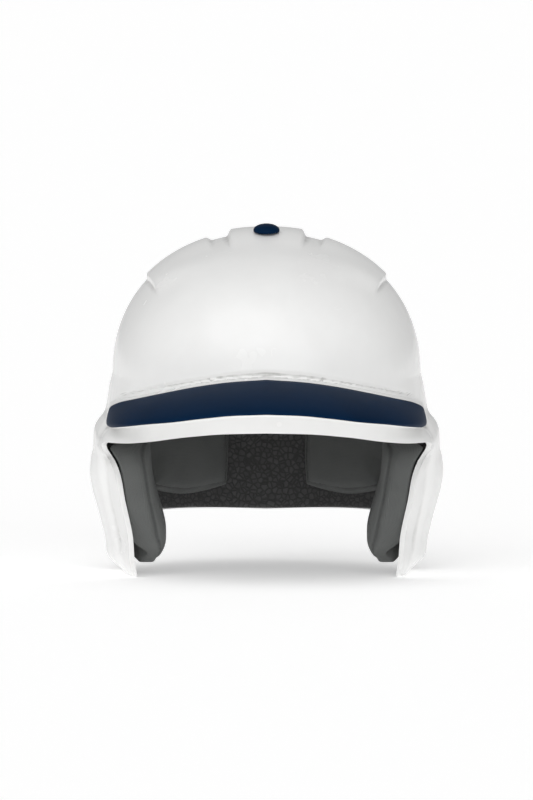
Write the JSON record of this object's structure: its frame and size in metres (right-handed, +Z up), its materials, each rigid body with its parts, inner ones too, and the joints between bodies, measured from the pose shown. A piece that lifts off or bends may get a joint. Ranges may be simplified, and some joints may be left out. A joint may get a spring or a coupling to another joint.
{
  "type": "batting helmet",
  "caption": "Batting helmet with two ear flaps, a peaked bill with a dark panel, raised crown ridges, a crown button and removable ear pads.",
  "frame": {"origin": "under the middle of the overall length and width, on the surface the ear flaps stand on", "axes": "+Z up through the crown, -Y out through the face opening and along the bill, +X to the wearer's left"},
  "size_m": [0.2292, 0.2923, 0.2295],
  "materials": {
    "shell": "semi-gloss moulded",
    "trim": "satin moulded",
    "tape": "adhesive film",
    "nut": "stamped spring steel",
    "foam": "expanded foam",
    "pad": "knitted cover over soft foam",
    "patch": "hook and loop"
  },
  "bodies": {
    "helmet": {"outer_shell": "shell", "bill_panel": "trim", "bill_panel_tape": "tape", "crown_button": "trim", "button_push_nut": "nut", "brow_foam": "foam", "crown_foam": "foam", "left_crown_foam": "foam", "right_crown_foam": "foam", "left_temple_foam": "foam", "right_temple_foam": "foam", "left_ear_foam": "foam", "right_ear_foam": "foam", "rear_foam": "foam", "brow_pad": "pad", "crown_pad": "pad", "left_crown_pad": "pad", "right_crown_pad": "pad", "left_temple_pad": "pad", "right_temple_pad": "pad", "left_rear_pad": "pad", "right_rear_pad": "pad", "left_hook_patches": "patch", "right_hook_patches": "patch"},
    "left_ear_pad": {"left_ear_pad": "pad", "left_loop_patches": "patch"},
    "right_ear_pad": {"right_ear_pad": "pad", "right_loop_patches": "patch"}
  },
  "joints": [
    {"name": "left_ear_pad_pull", "type": "slide", "parent": "helmet", "child": "left_ear_pad", "axis": [-1, 0, 0], "range_m": [0, 0.03]},
    {"name": "right_ear_pad_pull", "type": "slide", "parent": "helmet", "child": "right_ear_pad", "axis": [1, 0, 0], "range_m": [0, 0.03]}
  ]
}
